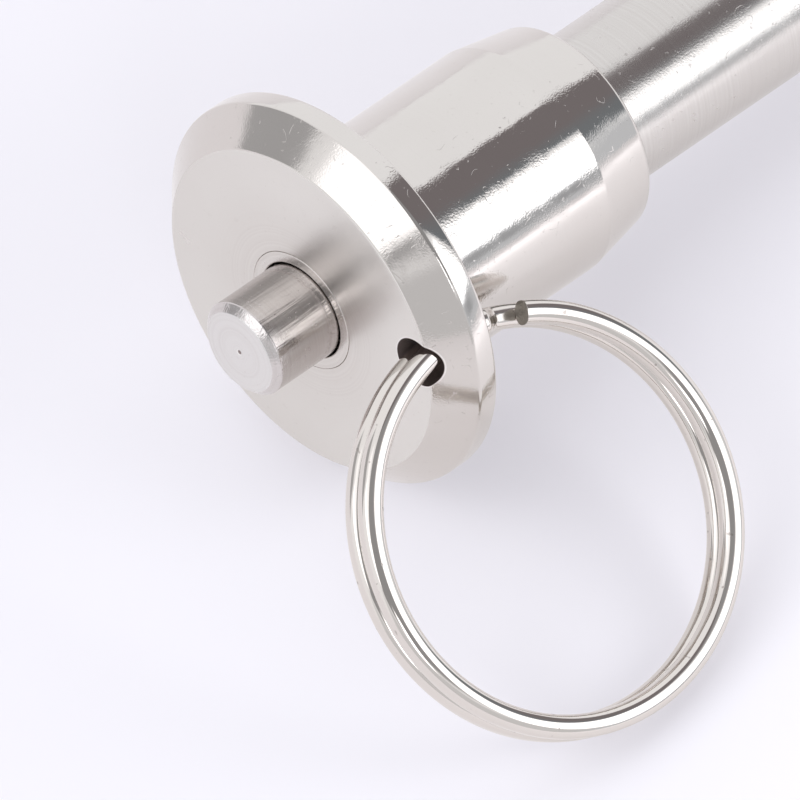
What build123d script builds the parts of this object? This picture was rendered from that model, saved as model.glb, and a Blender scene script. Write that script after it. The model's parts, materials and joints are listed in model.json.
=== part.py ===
# Ball lock pin with a flanged handle and a split ring, lying on a level surface.
# Each turned piece is drawn about the pin's axis, local Z, which runs from the flange's
# front face at 0 towards the tip, with local X upwards. The whole pin is then laid down on
# the flange's rim, the shank's tip and the split ring. Units are millimetres. In the final
# frame +Z is up, +X runs along the pin towards its tip, and the origin is in the middle of
# the object's footprint.
from build123d import *
from math import asin, atan2, cos, hypot, radians, sin, sqrt, tan
import os

os.makedirs("parts", exist_ok=True)

# ---------------------------------------------------------------- driving sizes
# Shank, the working end of the pin
shank_diameter = 10.0
grip_length = 30.0              # of full diameter, from the shoulder
grip_play = 0.2                 # from the grip's end to the near side of the balls
nose_diameter = 9.6             # relieved, so that the staked seats stay below the grip
tip_beyond_ball = 7.0
tip_chamfer = 1.2
spigot_diameter = 10.4          # of the shank's inner end, pressed into the handle
drill_point_angle = 118.0

# Locking balls
ball_diameter = 4.0
ball_stand_out = 1.0            # how far a locked ball stands proud of the shank
ball_sink = 0.1                 # how far a released ball drops below the shank's surface

# Handle: one turned piece, a flange in front and a barrel behind it
handle_length = 22.3
flange_diameter = 25.4
flange_face_diameter = 21.3
bevel_depth = 2.05
flange_thickness = 3.48
rim_round = 0.25
barrel_diameter = 15.16
barrel_straight_end = 18.1      # where the band that tapers to the shoulder begins
shoulder_diameter = 13.6
shoulder_round = 0.35
root_round = 0.3

# Guide bush, pressed into the handle's mouth
bush_diameter = 7.8
bush_length = 2.4
edge_break = 0.12

# Push button
button_diameter = 6.17
button_stand_out = 5.12
button_chamfer = 0.48
button_collar_length = 1.8
button_travel = 3.0
centre_dimple_diameter = 0.4
centre_dimple_depth = 0.15

# Spindle
spindle_tail_diameter = 2.6
spindle_tail_length = 4.6
spindle_land_length = 1.7       # past the balls' centres while locked
groove_behind_ball = 2.1        # from a released ball's centre to the groove's far edge
spindle_end_room = 0.15         # left in front of the spindle when it is pressed home

# Return spring
spring_wire = 0.6
spring_room = 7.8               # between the button's collar and the shank's inner end
spring_turns = 5

# Split ring, two coils of flattened wire, and its hole in the flange
ring_outer_diameter = 25.8
ring_wire_width = 1.45          # across the ring
ring_wire_height = 1.40         # along the ring's axis
ring_wire_round = 0.6
ring_coil_gap = 0.03
ring_step_start = 72.0          # degrees round the ring from the side towards the pin's tip
ring_step_sweep = 7.0
ring_end_gap = 6.0              # degrees between a cut end and the step beside it
ring_hole_diameter = 3.2
ring_hole_orbit = 9.72          # from the pin's axis to the hole's
ring_hole_clock = 68.35         # degrees round the flange from straight up
ring_centre_depth = 2.45        # behind the flange's front face
ring_lean = 2.0                 # degrees that the ring leans over in its loose hole

# Clearances
ball_gap = 0.03                 # ball in its pocket
land_gap = 0.02                 # ball over the spindle
spindle_gap = 0.05              # spindle in the shank's bore
button_gap = 0.085              # button in the guide bush
collar_gap = 0.08               # button's collar in the handle's bore
stop_gap = 0.02                 # collar against the guide bush

# ---------------------------------------------------------------- worked-out sizes
shank_radius = shank_diameter / 2
nose_radius = nose_diameter / 2
spigot_radius = spigot_diameter / 2
flange_radius = flange_diameter / 2
button_radius = button_diameter / 2
bush_radius = bush_diameter / 2

ball_radius = ball_diameter / 2
ball_locked = shank_radius + ball_stand_out - ball_radius
ball_travel = ball_stand_out + ball_sink
ball_half_chord = sqrt(ball_radius**2 - (shank_radius - ball_locked) ** 2)
grip_end = handle_length + grip_length
ball_depth = grip_end + grip_play + ball_half_chord
tip_depth = ball_depth + tip_beyond_ball

collar_front = bush_length + stop_gap
collar_back = collar_front + button_collar_length
seat_depth = collar_back + spring_room
tail_radius = spindle_tail_diameter / 2
tail_front = collar_back - spindle_tail_length

land_radius = ball_locked - ball_radius - land_gap
core_radius = land_radius - ball_travel
land_end = ball_depth + spindle_land_length
bore_radius = land_radius + spindle_gap
bore_end = land_end + button_travel + spindle_end_room


def turned(points):
    """A solid of revolution about the pin's axis, from (radius, depth) points."""
    outline = Polyline([(radius, 0, depth) for radius, depth in points], close=True)
    return revolve(make_face(outline), Axis.Z)


def circle_at(part, radius, depth):
    """The edge of a turned part that runs round it at one radius and depth."""
    return [
        edge
        for edge in part.edges().filter_by(GeomType.CIRCLE)
        if abs(edge.radius - radius) < 1e-4 and abs(edge.arc_center.Z - depth) < 1e-4
    ]


# ---------------------------------------------------------------- handle
def make_handle():
    """The flange and the barrel, turned in one piece, with the ring's hole drilled."""
    barrel_radius = barrel_diameter / 2
    shoulder_radius = shoulder_diameter / 2
    handle = turned([
        (bush_radius, 0),
        (flange_face_diameter / 2, 0),
        (flange_radius, bevel_depth),
        (flange_radius, flange_thickness),
        (barrel_radius, flange_thickness),
        (barrel_radius, barrel_straight_end),
        (shoulder_radius, handle_length),
        (spigot_radius, handle_length),
        (spigot_radius, seat_depth),
        (bush_radius, seat_depth),
    ])
    handle = fillet(circle_at(handle, barrel_radius, flange_thickness), root_round)
    handle = fillet(circle_at(handle, flange_radius, flange_thickness), rim_round)
    handle = fillet(circle_at(handle, shoulder_radius, handle_length), shoulder_round)
    drill = Cylinder(ring_hole_diameter / 2, 3 * flange_thickness)
    hole = Rot(Z=ring_hole_clock) * Pos(X=ring_hole_orbit, Z=flange_thickness / 2)
    return handle - hole * drill


# ---------------------------------------------------------------- guide bush
def make_guide_bush():
    """The collar pressed into the mouth, which guides the button and keeps it in."""
    inner = button_radius + button_gap
    return turned([
        (inner + edge_break, 0),
        (bush_radius, 0),
        (bush_radius, bush_length),
        (inner, bush_length),
        (inner, edge_break),
    ])


# ---------------------------------------------------------------- push button
def make_push_button():
    """The thumb button, with a collar behind the bush and a bore for the spindle."""
    front = -button_stand_out
    collar_radius = bush_radius - collar_gap
    return turned([
        (0, front + centre_dimple_depth),
        (centre_dimple_diameter / 2, front),
        (button_radius - button_chamfer, front),
        (button_radius, front + button_chamfer),
        (button_radius, collar_front),
        (collar_radius, collar_front),
        (collar_radius, collar_back),
        (tail_radius, collar_back),
        (tail_radius, tail_front),
        (0, tail_front),
    ])


# ---------------------------------------------------------------- spindle
def make_spindle():
    """The rod that works the balls. Its land holds them out. Pressed forward, its ramp
    passes under them and they sink towards the groove. The ramp keeps the same gap to
    the balls all the way, so the land ends that much ahead of their centres."""
    slope = atan2(ball_travel, button_travel)
    reach = ball_radius + land_gap
    land_start = ball_depth + reach * (1 - cos(slope)) / sin(slope)
    core_front = land_start - button_travel
    groove_edge = ball_depth - button_travel - groove_behind_ball
    core_back = groove_edge + ball_travel
    return turned([
        (0, tail_front),
        (tail_radius, tail_front),
        (tail_radius, collar_back),
        (land_radius, collar_back),
        (land_radius, groove_edge),
        (core_radius, core_back),
        (core_radius, core_front),
        (land_radius, land_start),
        (land_radius, land_end - edge_break),
        (land_radius - edge_break, land_end),
        (0, land_end),
    ])


# ---------------------------------------------------------------- locking balls
def ball_line(side):
    """The place whose +Z runs out along a ball's own hole, level, on side 1 or -1."""
    return Pos(Z=ball_depth) * Rot(Z=90 * side) * Rot(Y=90)


def make_ball_pocket(side):
    """A round hole that leads the ball and ends in a staked seat of the ball's curve."""
    pocket_radius = ball_radius + ball_gap
    hole = Pos(Z=ball_locked / 2) * Cylinder(pocket_radius, ball_locked)
    seat = Pos(Z=ball_locked) * Sphere(pocket_radius)
    return ball_line(side) * (hole + seat)


def make_locking_ball(side):
    return ball_line(side) * Pos(Z=ball_locked) * Sphere(ball_radius)


# ---------------------------------------------------------------- shank
def make_shank():
    """The hollow pin itself, pressed into the handle and closed at its chamfered tip."""
    drill_point = bore_radius / tan(radians(drill_point_angle / 2))
    relief = shank_radius - nose_radius
    shank = turned([
        (bore_radius, seat_depth),
        (spigot_radius, seat_depth),
        (spigot_radius, handle_length),
        (shank_radius, handle_length),
        (shank_radius, grip_end),
        (nose_radius, grip_end + relief),
        (nose_radius, tip_depth - tip_chamfer),
        (nose_radius - tip_chamfer, tip_depth),
        (0, tip_depth),
        (0, bore_end + drill_point),
        (bore_radius, bore_end),
    ])
    return shank - make_ball_pocket(1) - make_ball_pocket(-1)


# ---------------------------------------------------------------- return spring
def make_return_spring():
    """The coil spring round the spindle, between the button and the shank's inner end."""
    rise = spring_room - spring_wire
    coil_radius = (land_radius + bush_radius) / 2
    coil = Helix(pitch=rise / spring_turns, height=rise, radius=coil_radius)
    coil = coil.moved(Pos(Z=collar_back + spring_wire / 2))
    section = Plane(origin=coil @ 0, z_dir=coil % 0) * Circle(spring_wire / 2)
    return sweep(section, path=coil)


# ---------------------------------------------------------------- split ring
ring_rho = (ring_outer_diameter - ring_wire_width) / 2
coil_height = (ring_wire_height + ring_coil_gap) / 2
ring_half_height = coil_height + ring_wire_height / 2
step_end = ring_step_start + ring_step_sweep
step_sections = 6


def wire_section(turn, height):
    """The wire's section at an angle round the ring and a height along its axis."""
    outward = Vector(cos(radians(turn)), sin(radians(turn)), 0)
    plane = Plane(
        origin=outward * ring_rho + Vector(0, 0, height),
        x_dir=outward,
        z_dir=Vector(0, 0, 1).cross(outward),
    )
    return plane * RectangleRounded(ring_wire_width, ring_wire_height, ring_wire_round)


def make_split_ring():
    """Two coils face to face about Z, joined by a step beside which both ends are cut."""
    coil_sweep = 360 - ring_step_sweep - ring_end_gap
    front_coil = revolve(wire_section(step_end, coil_height), Axis.Z, coil_sweep)
    back_start = step_end + ring_end_gap
    back_coil = revolve(wire_section(back_start, -coil_height), Axis.Z, coil_sweep)
    sections = []
    for index in range(step_sections):
        share = index / (step_sections - 1)
        ease = share * share * (3 - 2 * share)
        turn = ring_step_start + share * ring_step_sweep
        sections.append(wire_section(turn, (2 * ease - 1) * coil_height))
    return front_coil + loft(sections) + back_coil


# ---------------------------------------------------------------- how it lies
# The pin leans from the flange's rim down to the edge of its tip chamfer.
tip_edge_depth = tip_depth - tip_chamfer
rim_rise = flange_radius - rim_round - nose_radius
rim_run = tip_edge_depth - (flange_thickness - rim_round)
tilt = atan2(rim_rise, rim_run) + asin(rim_round / hypot(rim_rise, rim_run))
front_height = tip_edge_depth * sin(tilt) + nose_radius * cos(tilt)

# The coils bow outwards inside the hole, so the hole's axis runs through their mean place.
ring_bow = ring_rho - sqrt(ring_rho**2 - ring_centre_depth**2)
ring_reach = ring_rho - ring_bow / 2


def round_the_pin(clock, radius, depth):
    """A point at an angle from straight up, a radius and a depth, in the pin's frame."""
    return Vector(radius * cos(radians(clock)), radius * sin(radians(clock)), depth)


def ring_place(swing):
    """The ring's centre and axis when it hangs from its hole at an angle from straight up."""
    centre = round_the_pin(ring_hole_clock, ring_hole_orbit, ring_centre_depth)
    centre += round_the_pin(swing, ring_reach, 0)
    level_lean = cos(radians(ring_lean))
    normal = round_the_pin(swing - 90, level_lean, -sin(radians(ring_lean)))
    return centre, normal


def ring_clearance(swing):
    """The height of the ring's lowest point above the surface."""
    centre, normal = ring_place(swing)
    up = Vector(cos(tilt), 0, -sin(tilt))
    upright = abs(normal.dot(up))
    edgewise = sqrt(1 - upright**2)
    drop = (ring_rho + ring_wire_width / 2 - ring_wire_round) * edgewise
    drop += (ring_half_height - ring_wire_round) * upright + ring_wire_round
    return front_height + centre.dot(up) - drop


def find_ring_swing():
    """The swing at which the ring comes down on the surface, found by halving."""
    clear, sunk = 90.0, 180.0
    while sunk - clear > 1e-6:
        middle = (clear + sunk) / 2
        if ring_clearance(middle) > 0:
            clear = middle
        else:
            sunk = middle
    return clear


ring_swing = find_ring_swing()
ring_centre, ring_normal = ring_place(ring_swing)
ring_plane = Plane(origin=ring_centre, x_dir=(0, 0, 1), z_dir=ring_normal)
lying = Plane(
    origin=(0, 0, front_height),
    x_dir=(sin(tilt), 0, cos(tilt)),
    z_dir=(cos(tilt), 0, -sin(tilt)),
).location

pieces = {
    "handle": make_handle(),
    "guide_bush": make_guide_bush(),
    "shank": make_shank(),
    "push_button": make_push_button(),
    "spindle": make_spindle(),
    "return_spring": make_return_spring(),
    "locking_ball_left": make_locking_ball(-1),
    "locking_ball_right": make_locking_ball(1),
    "split_ring": ring_plane.location * make_split_ring(),
}

laid = {name: lying * piece for name, piece in pieces.items()}
middle = Compound(list(laid.values())).bounding_box().center()
to_origin = Pos(-middle.X, -middle.Y, 0)
for name, piece in laid.items():
    export_step(to_origin * piece, f"parts/{name}.step")
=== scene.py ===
import json
from math import cos, pi, radians, sin

import bmesh
import bpy
from mathutils import Euler, Matrix, Vector


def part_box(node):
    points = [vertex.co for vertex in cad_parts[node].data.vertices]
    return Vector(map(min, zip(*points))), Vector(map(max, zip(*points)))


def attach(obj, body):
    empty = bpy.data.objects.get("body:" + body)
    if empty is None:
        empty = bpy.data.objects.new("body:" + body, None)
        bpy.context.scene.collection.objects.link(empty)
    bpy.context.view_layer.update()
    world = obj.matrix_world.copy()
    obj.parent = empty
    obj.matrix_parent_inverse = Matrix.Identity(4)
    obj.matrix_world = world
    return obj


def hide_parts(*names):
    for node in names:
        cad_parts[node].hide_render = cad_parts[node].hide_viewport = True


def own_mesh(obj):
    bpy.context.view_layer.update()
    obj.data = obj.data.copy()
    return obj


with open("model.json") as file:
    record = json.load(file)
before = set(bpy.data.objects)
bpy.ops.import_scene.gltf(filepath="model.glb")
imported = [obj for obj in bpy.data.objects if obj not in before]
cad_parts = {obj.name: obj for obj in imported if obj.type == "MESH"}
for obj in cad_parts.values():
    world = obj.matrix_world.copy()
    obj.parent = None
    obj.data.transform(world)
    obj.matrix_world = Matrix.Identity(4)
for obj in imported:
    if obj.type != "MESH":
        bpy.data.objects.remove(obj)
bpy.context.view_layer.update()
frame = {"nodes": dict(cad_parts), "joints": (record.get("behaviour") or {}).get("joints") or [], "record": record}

# ---------------------------------------------------------------- handle
# A flange to pull on and a barrel behind it, turned in one piece from stainless steel bar.
# The tool left fine rings all over it, plainest about the middle, and the bevel and barrel
# were then polished. The hole for the split ring was drilled through the flange last.
mm = 0.001
joints = {joint["name"]: joint for joint in frame["joints"]}
mounts = {mount["name"]: mount for mount in frame["record"]["mounts"]}

handle_length = 22.3 * mm
flange_radius = 12.7 * mm
flange_face_radius = 10.65 * mm
bevel_depth = 2.05 * mm
flange_thickness = 3.48 * mm
barrel_radius = 7.58 * mm
barrel_straight_end = 18.1 * mm
shoulder_radius = 6.8 * mm
spigot_radius = 5.2 * mm
bush_radius = 3.9 * mm
bore_length = 12.02 * mm
ring_hole_radius = 1.6 * mm

# How far the edges are rounded.
crisp_edge = 0.05 * mm
mouth_edge = 0.1 * mm
face_edge = 0.12 * mm
flange_back_edge = 0.25 * mm
barrel_root = 0.3 * mm
shoulder_edge = 0.35 * mm

# The pin's own frame: its axis from the flange's front face towards the tip, and up.
pin_axis = Vector(joints["button_press"]["axis"]).normalized()
grip_length = mounts["grip"]["dims"]["length_mm"] * mm
flange_front = Vector(mounts["grip"]["pos_m"]) - pin_axis * (handle_length + grip_length / 2)
pin_up = (Vector((0, 0, 1)) - pin_axis * pin_axis.z).normalized()
pin_frame = Matrix((pin_up, pin_axis.cross(pin_up), pin_axis)).transposed().to_4x4()
pin_frame.translation = flange_front

weld_distance = 1e-8
turned_crease = 24


def finished(name, shape, place, crease=turned_crease):
    """The object that a bmesh makes at a place. Edges under the crease angle are smooth."""
    bmesh.ops.remove_doubles(shape, verts=shape.verts, dist=weld_distance)
    bmesh.ops.transform(shape, matrix=place, verts=shape.verts)
    bmesh.ops.recalc_face_normals(shape, faces=shape.faces)
    mesh = bpy.data.meshes.new(name)
    shape.to_mesh(mesh)
    shape.free()
    mesh.shade_smooth()
    mesh.set_sharp_from_angle(angle=radians(crease))
    piece = bpy.data.objects.new(name, mesh)
    bpy.context.scene.collection.objects.link(piece)
    return piece


def keep_flats_flat(piece):
    """Lets a piece's large faces set the shading at the small roundings beside them."""
    weighted = piece.modifiers.new("flats", "WEIGHTED_NORMAL")
    weighted.weight = 100
    weighted.keep_sharp = True


def turned(name, corners, round_segments=4, steps=256):
    """A piece spun about the pin's axis from (radius, depth, rounding) corners."""
    shape = bmesh.new()
    profile = [shape.verts.new((radius, 0, depth)) for radius, depth, _ in corners]
    shape.faces.new(profile)
    for corner, (_, _, rounding) in zip(profile, corners):
        if rounding:
            bmesh.ops.bevel(
                shape, geom=[corner], affect="VERTICES", offset_type="OFFSET",
                offset=rounding, segments=round_segments, profile=0.5, material=-1,
            )
    bmesh.ops.delete(shape, geom=shape.faces[:], context="FACES_ONLY")
    on_axis = [
        edge for edge in shape.edges if all(vert.co.x < weld_distance for vert in edge.verts)
    ]
    bmesh.ops.delete(shape, geom=on_axis, context="EDGES")
    bmesh.ops.spin(
        shape, geom=shape.verts[:] + shape.edges[:], cent=(0, 0, 0), axis=(0, 0, 1),
        angle=2 * pi, steps=steps, use_merge=True,
    )
    return finished(name, shape, pin_frame)


def cut(piece, cutter):
    """Takes the cutter's volume out of the piece for good."""
    modifier = piece.modifiers.new("cut", "BOOLEAN")
    modifier.object = cutter
    modifier.operation = "DIFFERENCE"
    modifier.solver = "EXACT"
    evaluated = piece.evaluated_get(bpy.context.evaluated_depsgraph_get())
    piece.data = bpy.data.meshes.new_from_object(evaluated)
    piece.modifiers.clear()
    bpy.data.objects.remove(cutter)
    piece.data.set_sharp_from_angle(angle=radians(turned_crease))


class Value:
    """A number that varies over a surface. Arithmetic on it adds Math nodes."""

    def __init__(self, shader, socket):
        self.shader = shader
        self.socket = socket

    def __add__(self, other):
        return self.shader.math("ADD", self, other)

    def __sub__(self, other):
        return self.shader.math("SUBTRACT", self, other)

    def __rsub__(self, other):
        return self.shader.math("SUBTRACT", other, self)

    def __mul__(self, other):
        return self.shader.math("MULTIPLY", self, other)

    def __pow__(self, other):
        return self.shader.math("POWER", self, other)

    def __abs__(self):
        return self.shader.math("ABSOLUTE", self)

    __radd__ = __add__
    __rmul__ = __mul__


class Shader:
    """The nodes of one material, or of the world."""

    def __init__(self, owner):
        owner.use_nodes = True
        self.tree = owner.node_tree
        self.tree.nodes.clear()

    def add(self, kind, settings=None, sockets=None, output=0):
        """A node of that type with its settings and its sockets' values or links."""
        node = self.tree.nodes.new(kind)
        for name, setting in (settings or {}).items():
            setattr(node, name, setting)
        for name, value in (sockets or {}).items():
            if isinstance(value, Value):
                self.tree.links.new(value.socket, node.inputs[name])
            else:
                node.inputs[name].default_value = value
        return Value(self, node.outputs[output] if node.outputs else None)

    def math(self, operation, *inputs):
        """A number worked out from others by a Math node."""
        sockets = dict(enumerate(inputs))
        return self.add("ShaderNodeMath", {"operation": operation}, sockets)

    def step(self, value, low, high):
        """0 below low and 1 above high, smooth between them."""
        sockets = {"Value": value, "From Min": low, "From Max": high}
        return self.add("ShaderNodeMapRange", {"interpolation_type": "SMOOTHSTEP"}, sockets)

    def mix(self, share, first, second):
        """The colour that a share leads to, from the first to the second."""
        sockets = {0: share, 6: first, 7: second}
        return self.add("ShaderNodeMix", {"data_type": "RGBA"}, sockets, output=2)

    def noise(self, vector, scale, detail=2):
        """A random pattern, from about 0 to 1, with that many spots to the metre."""
        sockets = {"Vector": vector, "Scale": scale, "Detail": detail}
        return self.add("ShaderNodeTexNoise", sockets=sockets)

    def place(self):
        """Where a point is on the piece."""
        return self.add("ShaderNodeTexCoord", output="Object")

    def inside(self, own_frame, place):
        """A place as a piece's own frame has it."""
        sockets = {
            "Vector": place, "Location": own_frame.translation,
            "Rotation": own_frame.to_euler(),
        }
        return self.add("ShaderNodeMapping", {"vector_type": "TEXTURE"}, sockets)

    def join(self, x, y, z):
        """The vector that three numbers make."""
        return self.add("ShaderNodeCombineXYZ", sockets={"X": x, "Y": y, "Z": z})

    def split(self, vector):
        """The three numbers that a vector holds."""
        parts = self.add("ShaderNodeSeparateXYZ", sockets={"Vector": vector})
        return [Value(self, socket) for socket in parts.socket.node.outputs]


def toned(colour, shares):
    """A colour with each of its parts taken by a share."""
    return [part * share for part, share in zip(colour, shares)] + [1]


# The darkest and lightest shares of a steel's colour. Its clouding, tool rings, pits and nicks, and its zones'
# painted sheen and painted shade, move it between them.
darker = (0.84, 0.81, 0.80)
lighter = (1.08, 1.10, 1.10)
# A painted glint for the lip of a drilled hole, and painted shade for its wall.
painted_lip_glint = (0.92, 0.90, 0.88, 1)
painted_hole_shade = (0.27, 0.22, 0.21, 1)
tool_mark = 1.2e-6


def steel(name, colour, roughness, zones=(), drilled=None, rubbed=0, wear=0.5):
    """Bare turned steel: fine tool rings about the pin's axis, pits, nicks and clouding.

    Each zone says to what depth it runs, how rough the steel is there, how much lighter or
    darker it is painted, as a painted sheen or painted shade, and the radius at which it has
    become so. A drilled hole is given by its centre and its radius: its wall is rough and
    painted dark as painted shade, and its lip carries a painted glint. Rubbed says how deep the
    marks along the axis are, and wear how far the pits and nicks show.
    """
    material = bpy.data.materials.new(name)
    shader = Shader(material)
    local = shader.inside(pin_frame, shader.place())
    x, y, depth = shader.split(local)
    radius = (x * x + y * y) ** 0.5

    rings_at = shader.join(radius, depth, 0)
    fine_rings = shader.noise(rings_at, scale=26000)
    coarse_rings = shader.noise(rings_at, scale=5200)
    clouds = shader.noise(local, scale=160, detail=3)
    grain = shader.noise(local, scale=8500, detail=3)
    patches = shader.step(shader.noise(local, scale=520), 0.40, 0.64)
    pits = shader.step(shader.noise(local, scale=3200, detail=1), 0.70, 0.76)
    scratches = 1 - shader.step(abs(shader.noise(local, scale=700, detail=1) - 0.5), 0.002, 0.008)
    nicks = scratches * shader.step(shader.noise(local, scale=1100, detail=0), 0.65, 0.69)

    height = fine_rings * 0.2 + coarse_rings * 0.6 + grain * (patches * 5.5 + 1.2)
    height = height - (pits * 5 + nicks * 6) * wear
    if rubbed:
        along_axis = shader.join(x, y, depth * 0.06)
        height = height + shader.noise(along_axis, scale=5500) * rubbed
    normal = shader.add("ShaderNodeBump", sockets={"Height": height, "Distance": tool_mark})

    rough = roughness
    painted_lightness = 0
    for zone in reversed(zones):
        beyond = shader.step(depth, zone["to"] - 0.02 * mm, zone["to"] + 0.02 * mm)
        zone_painted_lightness = shader.step(radius, zone["by_radius"] / 3, zone["by_radius"]) * zone["lighter"]
        rough = zone["rough"] + (rough - zone["rough"]) * beyond
        painted_lightness = zone_painted_lightness + (painted_lightness - zone_painted_lightness) * beyond
    rough = rough * (clouds * 0.5 + 0.75) + pits * 0.15

    centre_rings = 1 - shader.step(radius, 4.2 * mm, 7.5 * mm)
    # Clouding and tool rings are the steel's own tone; the zones add painted sheen and painted shade.
    shade = (clouds - 0.5) * 0.24 + (coarse_rings - 0.5) * (centre_rings * 0.7 + 0.05) + painted_lightness
    shade = shade + 0.62 - (pits + nicks) * 0.2 * wear
    tint = shader.mix(shade, toned(colour, darker), toned(colour, lighter))
    metal = 1
    # A drilled hole's wall is painted shade, and its lip carries a painted glint.
    if drilled:
        centre, hole_radius = drilled
        across = ((x - centre.x) ** 2 + (y - centre.y) ** 2) ** 0.5 - hole_radius
        outside = shader.step(across, 0.005 * mm, 0.03 * mm)
        lip = outside * (1 - shader.step(across, 0.07 * mm, 0.11 * mm))
        tint = shader.mix(outside, painted_hole_shade, shader.mix(lip * 0.5, tint, painted_lip_glint))
        rough = 0.45 + (rough - 0.45) * outside
        metal = outside * 0.6 + 0.4

    surface = shader.add("ShaderNodeBsdfPrincipled", sockets={
        "Base Color": tint, "Metallic": metal, "Roughness": rough, "Normal": normal,
    })
    shader.add("ShaderNodeOutputMaterial", sockets={"Surface": surface})
    return material


handle = turned("turned_handle", [
    (bush_radius, 0, mouth_edge),
    (flange_face_radius, 0, face_edge),
    (flange_radius, bevel_depth, face_edge),
    (flange_radius, flange_thickness, flange_back_edge),
    (barrel_radius, flange_thickness, barrel_root),
    (barrel_radius, barrel_straight_end, crisp_edge),
    (shoulder_radius, handle_length, shoulder_edge),
    (spigot_radius, handle_length, crisp_edge),
    (spigot_radius, bore_length, 0),
    (bush_radius, bore_length, 0),
])
ring_hinge = Vector(joints["ring_swing"]["pos_m"])
drill_shape = bmesh.new()
bmesh.ops.create_cone(
    drill_shape, cap_ends=True, segments=96, radius1=ring_hole_radius,
    radius2=ring_hole_radius, depth=4 * flange_thickness,
)
drill_place = pin_frame.copy()
drill_place.translation = ring_hinge
cut(handle, finished("drill", drill_shape, drill_place))
keep_flats_flat(handle)
hole_at = pin_frame.inverted() @ ring_hinge
faced_skin = 0.03 * mm
# The face is painted lighter towards its rim, a painted sheen, and the bevel painted darker, painted shade. The
# ring hole's wall is painted shade and its lip a painted glint.
handle_steel = steel(
    "turned_stainless_steel", colour=(0.665, 0.635, 0.605), roughness=0.06,
    zones=(
        {"to": faced_skin, "rough": 0.30, "lighter": 0.30, "by_radius": 9 * mm},
        {"to": bevel_depth, "rough": 0.11, "lighter": -0.15, "by_radius": 9 * mm},
    ),
    drilled=(hole_at, ring_hole_radius),
)
handle.data.materials.append(handle_steel)
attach(handle, "pin")
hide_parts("handle")

# ---------------------------------------------------------------- guide bush
# A plain stainless collar pressed into the handle's mouth, flush with the flange. It
# guides the button and keeps it from being pushed out by its spring.
button_radius = 3.085 * mm
button_gap = 0.085 * mm
bush_length = 2.4 * mm
bush = turned("pressed_guide_bush", [
    (button_radius + button_gap, 0, face_edge),
    (bush_radius, 0, crisp_edge),
    (bush_radius, bush_length, 0),
    (button_radius + button_gap, bush_length, 0),
])
keep_flats_flat(bush)
bush_steel = steel("bush_stainless_steel", colour=(0.65, 0.62, 0.59), roughness=0.25)
bush.data.materials.append(bush_steel)
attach(bush, "pin")
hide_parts("guide_bush")

# ---------------------------------------------------------------- push button
# The thumb button, turned from stainless steel with a chamfered face, a centre mark left
# by the lathe, and a wider collar behind the bush that keeps it in. Sliding through the
# bush has rubbed fine marks along its side.
button_stand_out = 5.12 * mm
button_chamfer = 0.48 * mm
button_edge = 0.06 * mm
centre_mark_depth = 0.15 * mm
centre_mark_radius = 0.2 * mm
centre_mark_wall = 0.12 * mm
collar_front = 2.42 * mm
collar_back = 4.22 * mm
collar_radius = 3.82 * mm
tail_radius = 1.3 * mm
tail_front = -0.38 * mm
button = turned("thumb_button", [
    (0, centre_mark_depth - button_stand_out, 0),
    (centre_mark_radius, -button_stand_out, crisp_edge),
    (button_radius - button_chamfer, -button_stand_out, button_edge),
    (button_radius, button_chamfer - button_stand_out, button_edge),
    (button_radius, collar_front, 0),
    (collar_radius, collar_front, 0),
    (collar_radius, collar_back, 0),
    (tail_radius, collar_back, 0),
    (tail_radius, tail_front, 0),
    (0, tail_front, 0),
])
keep_flats_flat(button)
button_skin = 0.05 * mm - button_stand_out
chamfer_back = button_chamfer - button_stand_out
all_over = 0.01 * mm
# The button's zones are painted: the face lighter, a painted sheen, and the chamfer and side darker, painted
# shade. The centre mark's wall is painted shade and its lip a painted glint.
button_steel = steel(
    "button_stainless_steel", colour=(0.66, 0.635, 0.625), roughness=0.16,
    zones=(
        {"to": button_skin, "rough": 0.30, "lighter": 0.30, "by_radius": all_over},
        {"to": chamfer_back, "rough": 0.18, "lighter": -0.30, "by_radius": all_over},
        {"to": collar_back, "rough": 0.16, "lighter": -0.50, "by_radius": all_over},
    ),
    drilled=(Vector((0, 0, 0)), centre_mark_wall), rubbed=20,
)
button.data.materials.append(button_steel)
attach(button, "button")
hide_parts("push_button")

# ---------------------------------------------------------------- shank
# The hollow pin, ground to a slide fit and pressed into the handle. Its nose is relieved
# and its tip chamfered. A round hole goes in from each side of the nose, and ends in a
# staked seat of the ball's own curve.
shank_radius = 5.0 * mm
nose_radius = 4.8 * mm
nose_step = 0.2 * mm
grip_end = handle_length + grip_length
tip_depth = 61.232 * mm
tip_chamfer = 1.2 * mm
tip_edge = 0.2 * mm
chamfer_edge = 0.15 * mm
ground_edge = 0.02 * mm
bore_radius = 2.03 * mm
bore_end = 59.082 * mm
drill_point = 1.2 * mm
ball_depth = 54.232 * mm
ball_radius = 2.0 * mm
ball_out = 4.0 * mm
ball_gap = 0.03 * mm
shank = turned("ground_shank", [
    (bore_radius, bore_length, 0),
    (spigot_radius, bore_length, 0),
    (spigot_radius, handle_length, crisp_edge),
    (shank_radius, handle_length, ground_edge),
    (shank_radius, grip_end, crisp_edge),
    (nose_radius, grip_end + nose_step, crisp_edge),
    (nose_radius, tip_depth - tip_chamfer, chamfer_edge),
    (nose_radius - tip_chamfer, tip_depth, tip_edge),
    (0, tip_depth, 0),
    (0, bore_end + drill_point, 0),
    (bore_radius, bore_end, 0),
])
seat_radius = ball_radius + ball_gap
seat_steps = 16
quarter = [pi / 2 * step / seat_steps for step in range(seat_steps + 1)]
pocket_outline = [(0, -ball_out), (seat_radius, -ball_out)]
pocket_outline += [(seat_radius * cos(angle), seat_radius * sin(angle)) for angle in quarter]
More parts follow.
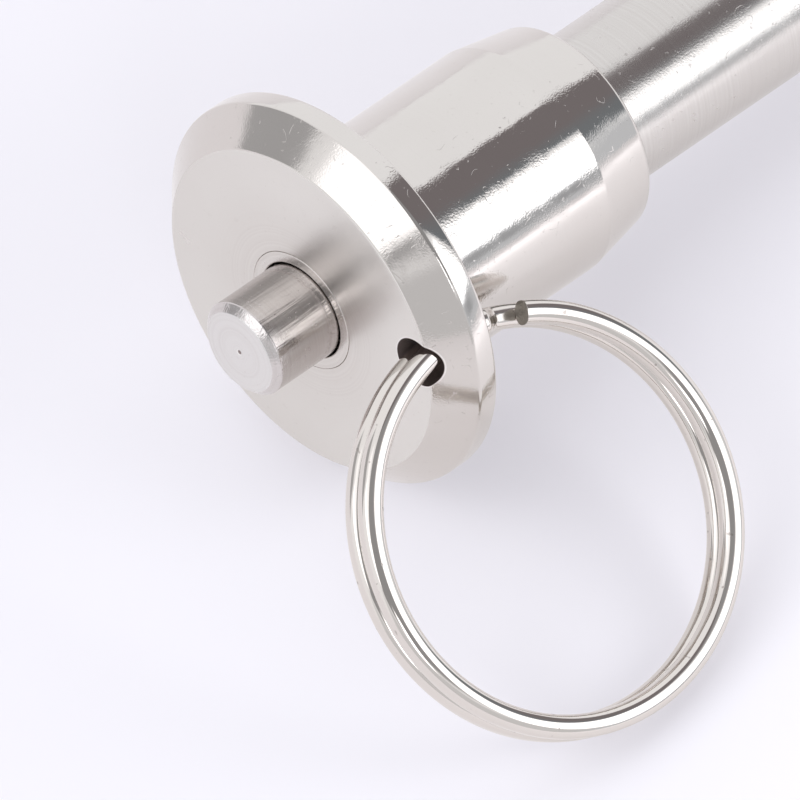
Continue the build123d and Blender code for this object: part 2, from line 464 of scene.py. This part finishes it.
for side in (1, -1):
    pocket_shape = bmesh.new()
    corners = [pocket_shape.verts.new((across, 0, out)) for across, out in pocket_outline]
    lines = [pocket_shape.edges.new(pair) for pair in zip(corners, corners[1:])]
    bmesh.ops.spin(
        pocket_shape, geom=corners + lines, cent=(0, 0, 0), axis=(0, 0, 1),
        angle=2 * pi, steps=4 * seat_steps, use_merge=True,
    )
    ball_line = Matrix.Translation((0, side * ball_out, ball_depth))
    ball_line = ball_line @ Matrix.Rotation(-side * pi / 2, 4, "X")
    cut(shank, finished("pocket", pocket_shape, pin_frame @ ball_line))
keep_flats_flat(shank)
shank_steel = steel("ground_stainless_steel", colour=(0.62, 0.595, 0.57), roughness=0.21)
shank.data.materials.append(shank_steel)
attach(shank, "pin")
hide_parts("shank")

# ---------------------------------------------------------------- spindle
# The rod that works the balls, ground from the same steel as the shank. It is pressed into
# the button and hidden inside the pin.
spindle = frame["nodes"]["spindle"]
spindle.data.materials.clear()
spindle.data.materials.append(shank_steel)

# ---------------------------------------------------------------- return spring
# Drawn stainless wire wound round the spindle, shut up between the button's collar and the
# shank. It closes up as the button goes in.
land_radius = 2.0 * mm
spring_wire = 0.6 * mm
spring_turns = 5
spring_end_gap = 0.02 * mm
wire_sides = 12
wire_crease = 50
steps_per_turn = 48
spring_room = bore_length - collar_back
spring_rise = spring_room - spring_wire - 2 * spring_end_gap
spring_start = Vector((
    (land_radius + bush_radius) / 2, 0, collar_back + spring_end_gap + spring_wire / 2,
))
spring_shape = bmesh.new()
bmesh.ops.create_circle(
    spring_shape, cap_ends=True, segments=wire_sides, radius=spring_wire / 2,
)
bmesh.ops.rotate(
    spring_shape, verts=spring_shape.verts, cent=(0, 0, 0),
    matrix=Matrix.Rotation(pi / 2, 3, "X"),
)
bmesh.ops.translate(spring_shape, verts=spring_shape.verts, vec=spring_start)
bmesh.ops.spin(
    spring_shape, geom=spring_shape.faces[:], cent=(0, 0, 0), axis=(0, 0, 1),
    dvec=(0, 0, spring_rise / (spring_turns * steps_per_turn)),
    angle=2 * pi * spring_turns, steps=spring_turns * steps_per_turn, use_merge=False,
)
spring = finished("wound_return_spring", spring_shape, pin_frame, wire_crease)
spring.data.materials.append(shank_steel)
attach(spring, "pin")
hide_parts("return_spring")
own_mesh(spring)

# ---------------------------------------------------------------- locking balls
# Hardened and polished steel balls, one each side of the nose, held in by the staked
# edges of their holes.
ball_segments = 64
ball_steel = steel("polished_ball_steel", colour=(0.72, 0.71, 0.70), roughness=0.06, wear=0)
for side, body in ((1, "ball_right"), (-1, "ball_left")):
    ball_shape = bmesh.new()
    bmesh.ops.create_uvsphere(
        ball_shape, u_segments=ball_segments, v_segments=ball_segments // 2,
        radius=ball_radius,
    )
    bmesh.ops.translate(
        ball_shape, verts=ball_shape.verts, vec=(0, side * ball_out, ball_depth),
    )
    ball = finished(f"polished_{body}", ball_shape, pin_frame)
    ball.data.materials.append(ball_steel)
    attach(ball, body)
    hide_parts(f"locking_{body}")

# ---------------------------------------------------------------- split ring
# Two coils of flattened spring wire lying face to face, nickel plated and bright. One
# coil steps across to the other beside the ends, which were sheared off square.
coil_radius = 12.175 * mm
ring_centre_depth = 2.45 * mm
wire_width = 1.45 * mm
wire_height = 1.40 * mm
wire_round = 0.6 * mm
coil_gap = 0.03 * mm
ring_lean = radians(2)

# Where the wire steps across and how far apart its ends are, in degrees round the ring.
step_start = 72
step_sweep = 7
end_gap = 6
coil_steps = 300
step_steps = 16

# The ring's own frame: it hangs from the middle of its hole and leans a little.
ring_bow = coil_radius - (coil_radius**2 - ring_centre_depth**2) ** 0.5
ring_low, ring_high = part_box("split_ring")
ring_middle = pin_frame.inverted() @ ((ring_low + ring_high) / 2)
hang = Vector((ring_middle.x - hole_at.x, ring_middle.y - hole_at.y, 0)).normalized()
ring_centre = hole_at + hang * (coil_radius - ring_bow / 2)
square_to_hang = Vector((hang.y, -hang.x, 0))
ring_normal = square_to_hang * cos(ring_lean) - Vector((0, 0, sin(ring_lean)))
ring_along = (Vector((0, 0, 1)) - ring_normal * ring_normal.z).normalized()
ring_across = ring_normal.cross(ring_along)
ring_frame = Matrix((ring_along, ring_across, ring_normal)).transposed().to_4x4()
ring_frame.translation = ring_centre
ring_place = pin_frame @ ring_frame

wire = bmesh.new()
section = [
    wire.verts.new((coil_radius + side * wire_width / 2, 0, face * wire_height / 2))
    for side, face in ((-1, -1), (1, -1), (1, 1), (-1, 1))
]
wire.faces.new(section)
bmesh.ops.bevel(
    wire, geom=section, affect="VERTICES", offset_type="OFFSET",
    offset=wire_round, segments=6, profile=0.5, material=-1,
)
coil_height = (wire_height + coil_gap) / 2
first_end = step_start + step_sweep + end_gap
bmesh.ops.rotate(
    wire, verts=wire.verts, cent=(0, 0, 0), matrix=Matrix.Rotation(radians(first_end), 3, "Z"),
)
bmesh.ops.translate(wire, verts=wire.verts, vec=(0, 0, -coil_height))


def run_on(geometry, degrees, steps, rise):
    """Draws the wire on round the ring from its open end, and gives the new end."""
    spun = bmesh.ops.spin(
        wire, geom=geometry, cent=(0, 0, 0), axis=(0, 0, 1), dvec=(0, 0, rise / steps),
        angle=radians(degrees), steps=steps, use_merge=False,
    )
    return spun["geom_last"]


def eased(share):
    """How far the wire has stepped across, after a share of the step's length."""
    return share * share * (3 - 2 * share)


coil_sweep = 360 - step_sweep - end_gap
end = run_on(wire.faces[:], coil_sweep, coil_steps, 0)
for index in range(step_steps):
    crossed = eased((index + 1) / step_steps) - eased(index / step_steps)
    end = run_on(end, step_sweep / step_steps, 1, 2 * coil_height * crossed)
run_on(end, coil_sweep, coil_steps, 0)
ring = finished("bright_split_ring", wire, ring_place, wire_crease)
keep_flats_flat(ring)

# The plating is dull and torn at the cut ends, and a little scuffed where the wire was
# pressed across.
nickel = bpy.data.materials.new("bright_nickel_plate")
shader = Shader(nickel)
place = shader.place()
x, y, z = shader.split(shader.inside(ring_place, place))
turn = shader.math("ARCTAN2", y, x) * (180 / pi)
front = shader.step(z, -0.01 * mm, 0.01 * mm)
from_end = turn - first_end + front * (step_sweep + 2 * end_gap)
sheared = 1 - shader.step(abs(from_end), 0.05, 0.2)
press_start = step_start - end_gap
press_end = step_start + step_sweep
pressed = shader.step(turn, press_start - 1, press_start)
pressed = pressed * (1 - shader.step(turn, press_end, press_end + 1))
specks = shader.step(shader.noise(place, scale=1800, detail=1), 0.72, 0.78)
waves = shader.noise(place, scale=420) * 4
torn = shader.noise(place, scale=5000, detail=3) * sheared * 40
normal = shader.add("ShaderNodeBump", sockets={"Height": waves - specks + torn, "Distance": 2e-6})
plate = shader.mix(specks, (0.70, 0.66, 0.62, 1), (0.50, 0.46, 0.43, 1))
surface = shader.add("ShaderNodeBsdfPrincipled", sockets={
    "Base Color": shader.mix(sheared, plate, (0.36, 0.335, 0.30, 1)), "Metallic": 1,
    "Roughness": specks * 0.2 + pressed * 0.1 + sheared * 0.2 + 0.07, "Normal": normal,
})
shader.add("ShaderNodeOutputMaterial", sockets={"Surface": surface})
ring.data.materials.append(nickel)
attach(ring, "ring")
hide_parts("split_ring")

# ---------------------------------------------------------------- floor
# A plain pale board that the pin lies on, painted with a faint cool cast. A glow that only
# the camera and the steel see makes it paler without more light on the pin.
floor_shape = bmesh.new()
bmesh.ops.create_grid(floor_shape, x_segments=1, y_segments=1, size=1.5)
floor = finished("floor", floor_shape, Matrix.Identity(4))
board = bpy.data.materials.new("pale_board")
shader = Shader(board)
seen = shader.add("ShaderNodeLightPath", output="Is Camera Ray")
mirrored = shader.add("ShaderNodeLightPath", output="Is Glossy Ray")
glow = shader.add("ShaderNodeEmission", sockets={
    "Color": shader.mix(mirrored, (0.90, 0.88, 0.96, 1), (0.90, 0.86, 0.85, 1)),
    "Strength": seen * 0.35 + mirrored * 0.44,
})
matt = shader.add("ShaderNodeBsdfDiffuse", sockets={"Color": (0.58, 0.572, 0.60, 1)})
surface = shader.add("ShaderNodeAddShader", sockets={0: matt, 1: glow})
shader.add("ShaderNodeOutputMaterial", sockets={"Surface": surface})
floor.data.materials.append(board)

# ---------------------------------------------------------------- studio
# A white room round the board, with grey cards and three soft boxes hung in it for the
# steel to mirror: a box to the left, one to the right and one beside the camera, and a
# dark gap overhead that draws the streak along the barrel.
scene = bpy.context.scene
scene.view_settings.view_transform = "Standard"
scene.world = bpy.data.worlds.new("studio")
room = Shader(scene.world)
direction = room.add("ShaderNodeTexCoord", output="Generated")
x, y, z = room.split(direction)
azimuth = room.math("ARCTAN2", y, x) * (180 / pi)
elevation = room.math("ARCSINE", z) * (180 / pi)


def window(value, low, high, edge):
    """1 between two angles and 0 outside them, with soft edges."""
    above = room.step(value, low - edge, low + edge)
    return above * (1 - room.step(value, high - edge, high + edge))


def over_west(start, end, edge):
    """1 from one azimuth on past 180 degrees to another, and 0 outside them."""
    return window(azimuth, start, 190, edge) + window(azimuth, -190, end, edge)


# Where each card and box hangs, in degrees of azimuth and of elevation.
left_wall = over_west(126, -150, 6) * window(elevation, 50, 72, 3)
near_ceiling = window(azimuth, -158, -10, 10) * window(elevation, 46, 95, 5)
near_card = window(azimuth, -166, -62, 6) * window(elevation, 31, 95, 4)
near_wall = window(azimuth, -172, -62, 6) * window(elevation, -9, 26, 2)
bevel_card = window(azimuth, 106, 133, 2) * window(elevation, -7, 33, 6)
low_wall = window(azimuth, -75, -22, 5) * window(elevation, -9, 13, 1.5)
low_card = window(azimuth, -62, -52, 5) * window(elevation, 3.5, 9.5, 1.5)
skew = azimuth + elevation * 0.16
gap = window(skew, -32.2, 11.2, 1.0) * window(elevation, 15.5, 95, 2.5)
right_box = window(azimuth, -66, -41.5, 0.8) * window(elevation, 11.5, 39.5, 1)
left_box = over_west(142, -161, 3) * window(elevation, 35, 53, 1.5)
near_box = window(azimuth, -132, -114, 3) * window(elevation, 25, 41, 2.5)

# The room's own light, and each card or box in front of those before it.
light = 1.12
for card, level in (
    (left_wall, 1.45), (near_ceiling, 0.38), (near_card, 0.38), (near_wall, 0.78),
    (bevel_card, 0.52), (low_wall, 0.76), (low_card, 0.50), (gap, 0.24),
    (right_box, 2.2), (left_box, 2.0), (near_box, 3.6),
):
    light = light + (level - light) * card
backdrop = room.add("ShaderNodeLightPath", output="Is Camera Ray")
warm = room.step(azimuth + elevation * 0.8, -8, 10)
gap_tint = room.mix(warm, (0.93, 1.01, 1.10, 1), (1, 0.90, 0.94, 1))
wall_tint = room.mix(low_wall * (1 - backdrop), (0.985, 0.99, 1.02, 1), (0.96, 0.99, 1.05, 1))
background = room.add("ShaderNodeBackground", sockets={
    "Color": room.mix(gap * (1 - backdrop), wall_tint, gap_tint),
    "Strength": backdrop * 0.94 + (1 - backdrop) * light,
})
room.add("ShaderNodeOutputWorld", sockets={"Surface": background})


def soft_lamp(name, across, power, place, aim):
    """A wide lamp that lights the board and that no bright metal mirrors."""
    light_data = bpy.data.lights.new(name, "AREA")
    light_data.shape = "SQUARE"
    light_data.size = across
    light_data.energy = power
    lamp = bpy.data.objects.new(name, light_data)
    lamp.location = place
    lamp.rotation_euler = (Vector(place) - Vector(aim)).to_track_quat("Z", "Y").to_euler()
    lamp.visible_glossy = False
    lamp.visible_camera = False
    scene.collection.objects.link(lamp)


soft_lamp("side_lamp", 0.10, power=0.13, place=(0.070, -0.125, 0.08), aim=(0.070, -0.125, 0))
soft_lamp("left_lamp", 0.30, power=0.58, place=(-0.37, 0.21, 0.36), aim=(0, 0, 0))

# ---------------------------------------------------------------- camera
# A very long lens about two metres away, so that the pin shows nearly no perspective. It
# looks down from the button's side, and is turned a degree off level.
camera_data = bpy.data.cameras.new("camera")
camera_data.lens = 1500
camera_data.sensor_width = 36
camera_data.clip_end = 10
camera = bpy.data.objects.new("camera", camera_data)
camera.location = (-0.82598, -0.77056, 1.60421)
camera.rotation_euler = Euler((radians(34.909), radians(-1.105), radians(-44.522)))
scene.collection.objects.link(camera)
scene.camera = camera
